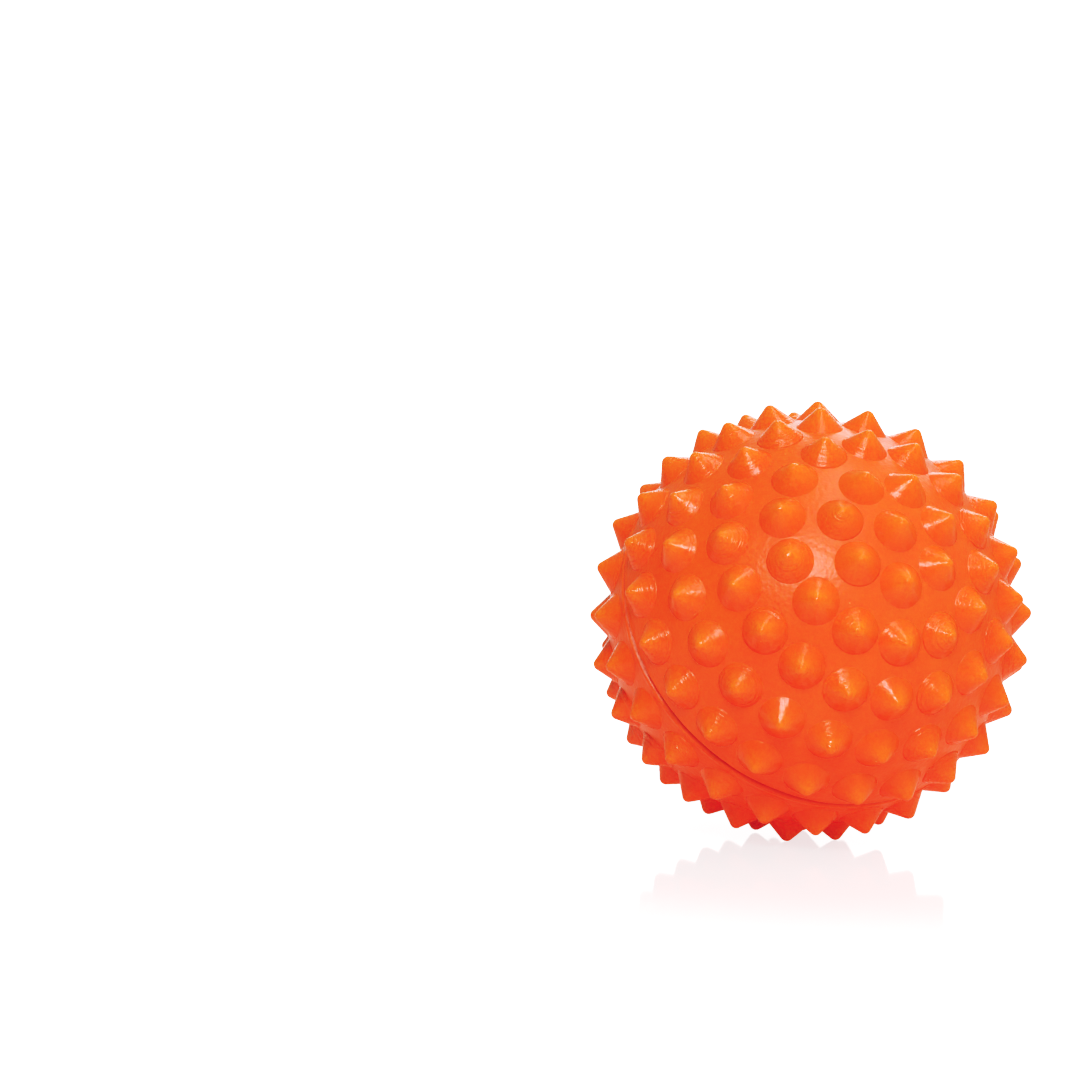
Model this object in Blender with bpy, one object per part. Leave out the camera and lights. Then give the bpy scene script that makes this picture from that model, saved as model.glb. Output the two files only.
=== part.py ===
"""Spiky massage ball: two moulded half shells lap-jointed at a seam, a cement bead inside the joint,
and an air valve (soft seat and pull-out plug) at the rear pole.

Everything is modelled in the ball's own frame, with the seam in the plane z = 0 and the front
pole on +Z. The finished ball is then laid down on three neighbouring spike tips, with the lowest
one at world z = 0 and the ball's centre over the world origin. Units are metres, +Z is up.
"""

import math

import bmesh
import bpy
from mathutils import Matrix, Vector
from mathutils.geometry import delaunay_2d_cdt

MM = 0.001

# Overall sizes
TIP_RADIUS = 45.0 * MM          # ball centre to spike tip, half of the 90 mm size
BODY_RADIUS = 41.05 * MM        # ball centre to skin
WALL = 3.05 * MM                # thickness of the shells
INNER_RADIUS = BODY_RADIUS - WALL

# Spikes: blunt 90 degree cones standing square on the skin
SPIKE_BASE_RADIUS = 4.73 * MM
SPIKE_HALF_ANGLE = math.radians(45.0)
SPIKE_NOSE_RADIUS = 1.2 * MM
SPIKE_SIDES = 12

# Spike rings around the seam axis, from each pole towards the seam
RING_STEP = math.radians(16.0)
RING_COUNTS = (1, 7, 14, 19, 22, 24)
FRONT_PHASES = (0.0, 22.6, 22.6, 14.8, 1.8, 9.2)
REAR_PHASES = (0.0, 10.0, 10.0, 6.5, 13.1, 6.1)

# Seam: a fine V-groove outside and a spigot inside a socket behind it
SEAM_SIDES = 72
SEAM_HALF_GAP = 0.15 * MM
SEAM_CHAMFER = 0.35 * MM
SOCKET_RADIUS = 39.30 * MM
SOCKET_DEPTH = 2.95 * MM
SPIGOT_RADIUS = 39.15 * MM
SPIGOT_BORE = 37.70 * MM
SPIGOT_HEIGHT = 2.65 * MM

# Bead of cement squeezed out along the inner edge of the joint
BEAD_RADIUS = 36.75 * MM
BEAD_HEIGHT = 2.75 * MM
BEAD_SECTION = 0.75 * MM
BEAD_SIDES = 48

# Air valve at the rear pole
VALVE_SIDES = 24
POCKET_RADIUS = 5.20 * MM
POCKET_DEPTH = 1.10 * MM
BORE_RADIUS = 4.20 * MM
BOSS_RADIUS = 7.00 * MM
BOSS_LENGTH = 8.00 * MM
SEAT_GAP = 0.12 * MM
SEAT_LIP_RADIUS = 4.90 * MM
SEAT_LENGTH = 10.60 * MM
SEAT_HOLE_RADIUS = 1.60 * MM
SEAT_RECESS_RADIUS = 3.00 * MM
SEAT_RECESS_DEPTH = 0.95 * MM
PLUG_GAP = 0.08 * MM
PLUG_HEAD_RADIUS = 2.80 * MM
PLUG_LENGTH = 8.40 * MM

# Resting pose: lean of the seam axis, its heading, and the turn about it
SEAM_LEAN = math.radians(55.6)
SEAM_HEADING = math.radians(-59.5)
SEAM_TURN = math.radians(71.9)
# The three tips that touch the floor, as (ring, place in the ring) on the rear half
SUPPORT_TIPS = ((3, 15), (4, 16), (4, 17))


def clear_scene():
    for item in list(bpy.data.objects):
        bpy.data.objects.remove(item, do_unlink=True)


def material(name, colour, roughness, metallic=0.0):
    mat = bpy.data.materials.new(name)
    mat.use_nodes = True
    shader = mat.node_tree.nodes["Principled BSDF"]
    shader.inputs["Base Color"].default_value = (*colour, 1.0)
    shader.inputs["Roughness"].default_value = roughness
    shader.inputs["Metallic"].default_value = metallic
    mat.diffuse_color = (*colour, 1.0)
    return mat


def direction(polar, azimuth):
    """Unit vector at this angle from the front pole and this angle around the seam axis."""
    return Vector((
        math.sin(polar) * math.cos(azimuth),
        math.sin(polar) * math.sin(azimuth),
        math.cos(polar),
    ))


def spike_axes(front):
    """Directions of one half's spikes, ring by ring. The rear pole is left free for the valve."""
    phases = FRONT_PHASES if front else REAR_PHASES
    axes = []
    for ring, (count, phase) in enumerate(zip(RING_COUNTS, phases)):
        polar = RING_STEP * ring
        if ring == 0 and not front:
            continue
        for place in range(count):
            azimuth = math.radians(phase) + 2.0 * math.pi * place / count
            axes.append(direction(polar if front else math.pi - polar, azimuth))
    return axes


def circle(radius, height, sides):
    """Points of a circle about the seam axis."""
    return [
        Vector((
            radius * math.cos(2.0 * math.pi * i / sides),
            radius * math.sin(2.0 * math.pi * i / sides),
            height,
        ))
        for i in range(sides)
    ]


def circle_on_axis(axis, radius, reach, sides):
    """Points of a circle around another axis through the ball's centre."""
    side = axis.cross(Vector((0.0, 0.0, 1.0)))
    if side.length < 1e-6:
        side = Vector((1.0, 0.0, 0.0))
    side.normalize()
    other = axis.cross(side)
    points = []
    for i in range(sides):
        turn = 2.0 * math.pi * i / sides
        points.append(axis * reach + (side * math.cos(turn) + other * math.sin(turn)) * radius)
    return points


def add_ring(bm, points):
    return [bm.verts.new(p) for p in points]


def join_rings(bm, lower, upper):
    """A closed band of quads between two rings with the same number of points."""
    count = len(lower)
    for i in range(count):
        j = (i + 1) % count
        bm.faces.new((lower[i], lower[j], upper[j], upper[i]))


def join_chain(bm, rings):
    for lower, upper in zip(rings, rings[1:]):
        join_rings(bm, lower, upper)


def fan(bm, ring, apex):
    for i in range(len(ring)):
        bm.faces.new((ring[i], ring[(i + 1) % len(ring)], apex))


def sphere_skin(bm, radius, front, rims, loose=()):
    """Cover part of a half sphere with triangles that pass through every ring in rims.

    rims holds rings of vertices that lie on the sphere. The space inside each ring but the first,
    which is the outer edge, stays open.
    """
    sign = 1.0 if front else -1.0
    verts = [v for ring in rims for v in ring] + list(loose)
    owner = [i for i, ring in enumerate(rims) for _ in ring] + [-1] * len(loose)
    flat = []
    for v in verts:
        scale = radius / (radius + sign * v.co.z)
        flat.append(Vector((v.co.x * scale / MM, v.co.y * scale / MM)))
    edges = []
    start = 0
    for ring in rims:
        count = len(ring)
        edges += [(start + i, start + (i + 1) % count) for i in range(count)]
        start += count
    result = delaunay_2d_cdt(flat, edges, [], 0, 1e-7)
    faces = result[2]
    sources = result[3]
    for face in faces:
        corners = [sources[i][0] for i in face]
        rings = {owner[c] for c in corners}
        if len(rings) == 1 and rings != {0} and rings != {-1}:
            continue
        bm.faces.new([verts[c] for c in corners])


def add_spike(bm, axis):
    """One spike standing on the skin. Returns the ring where it meets the skin."""
    foot = math.sqrt(BODY_RADIUS ** 2 - SPIKE_BASE_RADIUS ** 2)
    nose_ring = SPIKE_NOSE_RADIUS * math.cos(SPIKE_HALF_ANGLE)
    nose_reach = TIP_RADIUS - SPIKE_NOSE_RADIUS * (1.0 - math.sin(SPIKE_HALF_ANGLE))
    base = add_ring(bm, circle_on_axis(axis, SPIKE_BASE_RADIUS, foot, SPIKE_SIDES))
    nose = add_ring(bm, circle_on_axis(axis, nose_ring, nose_reach, SPIKE_SIDES))
    join_rings(bm, base, nose)
    fan(bm, nose, bm.verts.new(axis * TIP_RADIUS))
    return base


def cavity_points(front, hole_radius):
    """Evenly scattered points on the cavity wall, clear of the joint and of the valve boss."""
    total = 150
    golden = math.pi * (3.0 - math.sqrt(5.0))
    sign = 1.0 if front else -1.0
    points = []
    for i in range(total):
        height = 1.0 - 2.0 * (i + 0.5) / total
        if height * INNER_RADIUS < 6.5 * MM:
            continue
        reach = math.sqrt(1.0 - height * height)
        if hole_radius and reach * INNER_RADIUS < hole_radius + 2.0 * MM:
            continue
        turn = golden * i
        point = Vector((reach * math.cos(turn), reach * math.sin(turn), sign * height))
        points.append(point * INNER_RADIUS)
    return points


def outer_edge_height():
    """Distance from the seam plane at which the skin gives way to the groove's chamfer."""
    return SEAM_HALF_GAP + SEAM_CHAMFER


def ring_on_sphere(radius, height, sides):
    return circle(math.sqrt(radius ** 2 - height ** 2), height, sides)


def finish(bm, name, mat, smooth=True):
    bmesh.ops.remove_doubles(bm, verts=bm.verts, dist=1e-7)
    bmesh.ops.recalc_face_normals(bm, faces=bm.faces)
    bmesh.ops.triangulate(bm, faces=bm.faces)
    mesh = bpy.data.meshes.new(name)
    bm.to_mesh(mesh)
    bm.free()
    mesh.materials.append(mat)
    if smooth:
        mesh.shade_smooth()
        mesh.set_sharp_from_angle(angle=math.radians(32.0))
    part = bpy.data.objects.new(name, mesh)
    bpy.context.scene.collection.objects.link(part)
    return part


def make_front_shell(mat):
    """Half shell with a socket around its rim and a spike on its pole."""
    bm = bmesh.new()
    edge = outer_edge_height()
    groove = SEAM_HALF_GAP
    bases = [add_spike(bm, axis) for axis in spike_axes(True)]
    skin_edge = add_ring(bm, ring_on_sphere(BODY_RADIUS, edge, SEAM_SIDES))
    sphere_skin(bm, BODY_RADIUS, True, [skin_edge] + bases)
    cavity_edge = add_ring(bm, ring_on_sphere(INNER_RADIUS, SOCKET_DEPTH, SEAM_SIDES))
    join_chain(bm, [
        skin_edge,
        add_ring(bm, circle(BODY_RADIUS - SEAM_CHAMFER, groove, SEAM_SIDES)),
        add_ring(bm, circle(SOCKET_RADIUS, groove, SEAM_SIDES)),
        add_ring(bm, circle(SOCKET_RADIUS, SOCKET_DEPTH, SEAM_SIDES)),
        cavity_edge,
    ])
    loose = add_ring(bm, cavity_points(True, 0.0))
    sphere_skin(bm, INNER_RADIUS, True, [cavity_edge], loose)
    return finish(bm, "shell_front", mat)


def make_rear_shell(mat):
    """Half shell with a spigot around its rim and a bored boss for the valve at its pole."""
    bm = bmesh.new()
    edge = outer_edge_height()
    groove = SEAM_HALF_GAP
    bases = [add_spike(bm, axis) for axis in spike_axes(False)]
    skin_edge = add_ring(bm, ring_on_sphere(BODY_RADIUS, -edge, SEAM_SIDES))
    mouth_height = -math.sqrt(BODY_RADIUS ** 2 - POCKET_RADIUS ** 2)
    mouth = add_ring(bm, circle(POCKET_RADIUS, mouth_height, VALVE_SIDES))
    sphere_skin(bm, BODY_RADIUS, False, [skin_edge, mouth] + bases)
    cavity_height = -math.sqrt(INNER_RADIUS ** 2 - SPIGOT_BORE ** 2)
    cavity_edge = add_ring(bm, circle(SPIGOT_BORE, cavity_height, SEAM_SIDES))
    join_chain(bm, [
        skin_edge,
        add_ring(bm, circle(BODY_RADIUS - SEAM_CHAMFER, -groove, SEAM_SIDES)),
        add_ring(bm, circle(SPIGOT_RADIUS, -groove, SEAM_SIDES)),
        add_ring(bm, circle(SPIGOT_RADIUS, SPIGOT_HEIGHT, SEAM_SIDES)),
        add_ring(bm, circle(SPIGOT_BORE, SPIGOT_HEIGHT, SEAM_SIDES)),
        cavity_edge,
    ])
    floor = mouth_height + POCKET_DEPTH
    boss_end = -BODY_RADIUS + BOSS_LENGTH
    boss_foot_height = -math.sqrt(INNER_RADIUS ** 2 - BOSS_RADIUS ** 2)
    boss_foot = add_ring(bm, circle(BOSS_RADIUS, boss_foot_height, VALVE_SIDES))
    join_chain(bm, [
        mouth,
        add_ring(bm, circle(POCKET_RADIUS, floor, VALVE_SIDES)),
        add_ring(bm, circle(BORE_RADIUS, floor, VALVE_SIDES)),
        add_ring(bm, circle(BORE_RADIUS, boss_end, VALVE_SIDES)),
        add_ring(bm, circle(BOSS_RADIUS, boss_end, VALVE_SIDES)),
        boss_foot,
    ])
    loose = add_ring(bm, cavity_points(False, BOSS_RADIUS))
    sphere_skin(bm, INNER_RADIUS, False, [cavity_edge, boss_foot], loose)
    return finish(bm, "shell_rear", mat)


def make_seam_bead(mat):
    """Ring of round section lying in the inner corner of the joint."""
    bm = bmesh.new()
    rings = []
    for i in range(6):
        turn = 2.0 * math.pi * i / 6
        rings.append(add_ring(bm, circle(
            BEAD_RADIUS + BEAD_SECTION * math.cos(turn),
            BEAD_HEIGHT + BEAD_SECTION * math.sin(turn),
            BEAD_SIDES,
        )))
    join_chain(bm, rings + rings[:1])
    return finish(bm, "seam_bead", mat)


def lathe_loop(bm, profile, sides):
    """Solid of revolution from a closed profile that stays off the axis."""
    rings = [add_ring(bm, circle(r, z, sides)) for r, z in profile]
    join_chain(bm, rings + rings[:1])


def make_valve_seat(mat):
    """Soft flanged sleeve held in the boss by its inner lip, with a recess for the plug's head."""
    bm = bmesh.new()
    top = -math.sqrt(BODY_RADIUS ** 2 - POCKET_RADIUS ** 2)
    flange_foot = top + POCKET_DEPTH - SEAT_GAP
    boss_end = -BODY_RADIUS + BOSS_LENGTH + SEAT_GAP
    inner_end = -BODY_RADIUS + SEAT_LENGTH
    recess = top + SEAT_RECESS_DEPTH
    stem = BORE_RADIUS - SEAT_GAP
    flange = POCKET_RADIUS - SEAT_GAP
    lathe_loop(bm, [
        (SEAT_RECESS_RADIUS, top),
        (flange - 0.25 * MM, top),
        (flange, top + 0.25 * MM),
        (flange, flange_foot),
        (stem, flange_foot),
        (stem, boss_end),
        (SEAT_LIP_RADIUS, boss_end),
        (SEAT_LIP_RADIUS - 1.3 * MM, inner_end),
        (SEAT_HOLE_RADIUS, inner_end),
        (SEAT_HOLE_RADIUS, recess),
        (SEAT_RECESS_RADIUS, recess),
    ], VALVE_SIDES)
    return finish(bm, "valve_seat", mat)


def make_valve_plug(mat):
    """Push-in stopper. Its origin lies on the seam axis, under its head."""
    bm = bmesh.new()
    top = -math.sqrt(BODY_RADIUS ** 2 - POCKET_RADIUS ** 2)
    seat = top + SEAT_RECESS_DEPTH - PLUG_GAP
    shank = SEAT_HOLE_RADIUS - PLUG_GAP
    profile = [
        (PLUG_HEAD_RADIUS - 0.30 * MM, top + 0.05 * MM - seat),
        (PLUG_HEAD_RADIUS, top + 0.35 * MM - seat),
        (PLUG_HEAD_RADIUS, 0.0),
        (shank, 0.0),
        (shank, PLUG_LENGTH - 1.2 * MM),
        (shank * 0.55, PLUG_LENGTH),
    ]
    rings = [add_ring(bm, circle(r, z, VALVE_SIDES)) for r, z in profile]
    join_chain(bm, rings)
    fan(bm, rings[0], bm.verts.new((0.0, 0.0, top - 0.10 * MM - seat)))
    fan(bm, rings[-1], bm.verts.new((0.0, 0.0, PLUG_LENGTH + 0.2 * MM)))
    part = finish(bm, "valve_plug", mat)
    part.location = (0.0, 0.0, seat)
    return part


def rest_pose():
    """Placement that lays the ball on its three support tips, over the world origin."""
    lean = (
        Matrix.Rotation(SEAM_HEADING, 4, "Z")
        @ Matrix.Rotation(SEAM_LEAN, 4, "Y")
        @ Matrix.Rotation(SEAM_TURN, 4, "Z")
    )
    tips = []
    for ring, place in SUPPORT_TIPS:
        azimuth = math.radians(REAR_PHASES[ring]) + 2.0 * math.pi * place / RING_COUNTS[ring]
        tips.append(lean @ (direction(math.pi - RING_STEP * ring, azimuth) * TIP_RADIUS))
    down = (tips[1] - tips[0]).cross(tips[2] - tips[0]).normalized()
    if down.z > 0.0:
        down.negate()
    level = down.rotation_difference(Vector((0.0, 0.0, -1.0))).to_matrix().to_4x4()
    height = -min((level @ tip).z for tip in tips)
    return Matrix.Translation((0.0, 0.0, height)) @ level @ lean


def build():
    clear_scene()
    skin = material("orange_pvc", (0.90, 0.16, 0.03), 0.28)
    rear_skin = material("orange_pvc_rear", (0.90, 0.16, 0.03), 0.28)
    cement = material("clear_cement", (0.85, 0.45, 0.25), 0.35)
    soft = material("soft_seat_pvc", (0.80, 0.14, 0.03), 0.55)
    white = material("white_plug", (0.86, 0.85, 0.82), 0.38)
    parts = [
        make_front_shell(skin),
        make_rear_shell(rear_skin),
        make_seam_bead(cement),
        make_valve_seat(soft),
        make_valve_plug(white),
    ]
    pose = rest_pose()
    for part in parts:
        part.matrix_world = pose @ Matrix.Translation(part.location)


build()
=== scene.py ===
"""Spiky massage ball on a pale studio floor.

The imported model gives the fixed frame. The two half shells, the valve seat and the stopper are rebuilt
here as finer meshes in the same place and at the same size, and every piece gets a procedural material.
Shapes are worked out in the ball's own frame (seam in the plane z = 0, front pole on +Z) and laid down
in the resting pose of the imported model. Lengths are in metres.
The tone curve and the light that differs by kind of ray belong to the studio, not to the ball.
"""

import math
import random

import bmesh
import bpy
import numpy as np
from mathutils import Matrix, Vector, noise
from mathutils.geometry import delaunay_2d_cdt


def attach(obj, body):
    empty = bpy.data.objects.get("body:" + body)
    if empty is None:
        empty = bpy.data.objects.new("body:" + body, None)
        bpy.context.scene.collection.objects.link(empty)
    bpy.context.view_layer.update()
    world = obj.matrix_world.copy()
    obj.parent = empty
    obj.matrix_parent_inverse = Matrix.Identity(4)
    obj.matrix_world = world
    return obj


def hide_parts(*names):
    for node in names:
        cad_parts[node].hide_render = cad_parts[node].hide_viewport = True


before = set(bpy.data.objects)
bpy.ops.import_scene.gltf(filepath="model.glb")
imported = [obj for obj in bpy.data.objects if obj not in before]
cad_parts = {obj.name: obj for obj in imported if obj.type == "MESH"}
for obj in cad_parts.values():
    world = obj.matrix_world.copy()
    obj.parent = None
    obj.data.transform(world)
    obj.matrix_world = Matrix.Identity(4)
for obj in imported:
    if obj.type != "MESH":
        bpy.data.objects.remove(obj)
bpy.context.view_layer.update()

MM = 0.001

# Ball and spikes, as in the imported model. Phases are in degrees round the seam axis, one for each ring
# from the pole to the seam. A support tip is named by its ring and its place in the ring.
TIP_RADIUS = 45.0 * MM
BODY_RADIUS = 41.05 * MM
INNER_RADIUS = 38.0 * MM
SPIKE_BASE_RADIUS = 4.73 * MM
RING_STEP = math.radians(16.0)
RING_COUNTS = (1, 7, 14, 19, 22, 24)
FRONT_PHASES = (0.0, 22.6, 22.6, 14.8, 1.8, 9.2)
REAR_PHASES = (0.0, 10.0, 10.0, 6.5, 13.1, 6.1)
SUPPORT_TIPS = ((3, 15), (4, 16), (4, 17))
SEAM_LEAN = math.radians(55.6)
SEAM_HEADING = math.radians(-59.5)
SEAM_TURN = math.radians(71.9)

# Seam joint
SEAM_HALF_GAP = 0.15 * MM
SOCKET_RADIUS = 39.30 * MM
SOCKET_DEPTH = 2.95 * MM
SPIGOT_RADIUS = 39.15 * MM
SPIGOT_BORE = 37.70 * MM
SPIGOT_HEIGHT = 2.65 * MM

# Valve
POCKET_RADIUS = 5.20 * MM
POCKET_DEPTH = 1.10 * MM
BORE_RADIUS = 4.20 * MM
BOSS_RADIUS = 7.00 * MM
BOSS_LENGTH = 8.00 * MM
SEAT_GAP = 0.12 * MM
SEAT_LIP_RADIUS = 4.90 * MM
SEAT_LENGTH = 10.60 * MM
SEAT_HOLE_RADIUS = 1.60 * MM
SEAT_RECESS_RADIUS = 3.00 * MM
SEAT_RECESS_DEPTH = 0.95 * MM
SEAT_GROOVE_INNER = 3.65 * MM
SEAT_GROOVE_OUTER = 4.17 * MM
SEAT_GROOVE_SLOPE = 0.15 * MM
SEAT_GROOVE_DEPTH = 0.12 * MM
SEAT_LIP_TAPER = 1.30 * MM
PLUG_GAP = 0.08 * MM
PLUG_HEAD_RADIUS = 2.80 * MM
PLUG_LENGTH = 8.40 * MM

# Fineness of the visual meshes
SPIKE_SIDES = 40
SPIKE_STEPS = 11
NOSE_STEPS = 4
SEAM_SIDES = 360
VALVE_SIDES = 96
FLOOR_SIDES = 96
SKIN_SPACING = 1.35 * MM
CAVITY_SPACING = 3.2 * MM

# Skin left free round the spikes, the seam and the valve
COLLAR_WIDTH = 0.24 * MM
SPIKE_MARGIN = 0.62 * MM
POCKET_MARGIN = 0.9 * MM
LIP_WIDTH = 0.18 * MM
RIM_HEIGHT = 2.0 * MM
RIM_MARGIN = 0.6 * MM
NUB_MARGIN = 0.25 * MM
NUB_OVERLAP = 0.3 * MM           # how far a nub may reach into another piece's margin
CAVITY_MARGIN = 1.2 * MM
SPIGOT_MARGIN = 1.5 * MM

# Shading groups: faces of one group are shaded smoothly together. Later groups are numbered as they come.
SKIN, SPIKE, FIRST_WALL = 0, 1, 2

# Details of a spike
NOSE_RADIUS_MM = (1.25, 1.42)    # least and most
NOSE_START = 0.86                # share of the rise at which the blunt nose begins
MARK_HEIGHT = 0.014 * MM         # of the turning marks in the mesh
COLLAR_SWELL = 0.12 * MM         # of the uneven skin round the base

# Studio. Headings point from the ball. WHITE is the brightness that displays as white.
WHITE = 2.0
BALL_CENTRE = Vector((0.0, 0.0, 0.0443))
UP = Vector((0.0, 0.0, 1.0))
ALONG_Y = Vector((0.0, 1.0, 0.0))
LIGHTS = (
    # name, heading, distance, size across and along up, power in watts, up
    ("key", (-0.09, -0.781, 0.618), 0.8, (0.42, 0.17), 5.4, UP),
    ("overhead", (0.149, -0.147, 0.978), 0.9, (0.22, 0.90), 3.0, ALONG_Y),
    ("rear_fill", (0.15, 0.80, 0.60), 0.9, (0.60, 0.30), 2.4, UP),
)
WORLD_TOWARDS = (0.84, -0.18, 0.55)
WORLD_LOW, WORLD_HIGH = 0.02, 1.72
GLOSSY_TOWARDS = (-0.015, 0.986, 0.168)
GLOSSY_LOW, GLOSSY_HIGH = 0.0, 0.35
BACKDROP_TOWARDS = (-0.051, 0.993, 0.106)
BACKDROP_MIRRORED = 2.4
BACKDROP_SEEN = 1.1 * WHITE
FLOOR_RADII = (0.25, 1.0, 3.0, 9.0)
FLOOR_GLOW_LOW, FLOOR_GLOW_HIGH = 0.44 * WHITE, 0.80 * WHITE
FLOOR_GLOW_REACH = (0.055, 0.14)
# Strength of the floor's red glow, a painted bounce of the ball's orange light.
FLOOR_BOUNCE = 0.30

# Camera: lens and sensor in mm, angles in degrees
CAMERA_SENSOR = 36.0
CAMERA_LENS = 178.2
CAMERA_PLACE = (-0.0007, -1.0824, 0.1733)
CAMERA_ANGLES = (83.9168, -2.7975, 3.2116)

# Display tones: brightness as a share of WHITE, and what is shown. BLUE_TONES then changes blue once more.
BLUE_TONES = ((0.0, 0.006), (0.035, 0.021), (0.12, 0.095), (0.30, 0.30), (1.0, 1.0))
TONES = (
    (0.0, 0.0), (0.25, 0.485), (0.40, 0.70), (0.50, 0.785),
    (0.65, 0.855), (0.80, 0.905), (0.92, 0.96), (1.0, 1.0),
)

# Skin profile beside the seam: distance from the seam plane and rise above the sphere, in mm
SEAM_PROFILE = (
    (1.70, 0.01), (1.45, 0.04), (1.25, 0.08), (1.08, 0.12), (0.94, 0.14), (0.84, 0.12),
    (0.75, 0.05), (0.66, -0.06), (0.56, -0.20), (0.45, -0.38), (0.33, -0.60), (0.19, -0.85),
)
# The groove's dark red is painted shade, at its darkest at this depth.
GROOVE_SHADE_DEPTH = 0.45    # mm below the sphere at which the groove is as dark as it gets

# Skin profile into the valve pocket: distance outside the pocket's wall and depth below its mouth, in mm
LIP_PROFILE = ((0.10, 0.03), (0.03, 0.09), (0.0, 0.18))

# Moulding nubs on the skin: angle from the pole, angle round the seam axis, radius and height in mm
NUBS = (
    (24.0, 200.0, 0.22, 0.10), (57.0, 128.0, 0.30, 0.12),
    (40.0, 300.0, 0.18, 0.08), (72.0, 40.0, 0.25, 0.10),
)
RANDOM_NUBS = 14
NUB_POLAR = (8.0, 84.0)          # degrees
NUB_RADIUS_MM = (0.13, 0.24)
NUB_HEIGHT_MM = (0.04, 0.09)
NUB_SIDES = 8

# Flat map used to triangulate a half sphere
FLAT_SCALE = 40.0
FLAT_TOLERANCE = 1e-7
HEXAGON_SHARE = 0.866    # area for each point in units of spacing squared, when evenly packed

PROFILE_STEPS = 4
SHARP_ANGLE = math.radians(34.0)
FRONT_SEED, REAR_SEED = 4, 9
SPAN_LABELS = ("From Min", "From Max", "To Min", "To Max")


def direction(polar, azimuth):
    """Unit vector at this angle from the front pole and this angle around the seam axis."""
    return Vector((
        math.sin(polar) * math.cos(azimuth),
        math.sin(polar) * math.sin(azimuth),
        math.cos(polar),
    ))


def spike_axes(front):
    phases = FRONT_PHASES if front else REAR_PHASES
    axes = []
    for ring, (count, phase) in enumerate(zip(RING_COUNTS, phases)):
        polar = RING_STEP * ring
        if ring == 0 and not front:
            continue
        for place in range(count):
            azimuth = math.radians(phase) + 2.0 * math.pi * place / count
            axes.append(direction(polar if front else math.pi - polar, azimuth))
    return axes


def rest_pose():
    """Placement that lays the ball on its three support tips, over the world origin."""
    lean = (
        Matrix.Rotation(SEAM_HEADING, 4, "Z")
        @ Matrix.Rotation(SEAM_LEAN, 4, "Y")
        @ Matrix.Rotation(SEAM_TURN, 4, "Z")
    )
    tips = []
    for ring, place in SUPPORT_TIPS:
        azimuth = math.radians(REAR_PHASES[ring]) + 2.0 * math.pi * place / RING_COUNTS[ring]
        tips.append(lean @ (direction(math.pi - RING_STEP * ring, azimuth) * TIP_RADIUS))
    down = (tips[1] - tips[0]).cross(tips[2] - tips[0]).normalized()
    if down.z > 0.0:
        down.negate()
    level = down.rotation_difference(Vector((0.0, 0.0, -1.0))).to_matrix().to_4x4()
    height = -min((level @ tip).z for tip in tips)
    return Matrix.Translation((0.0, 0.0, height)) @ level @ lean


POSE = rest_pose()


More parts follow.
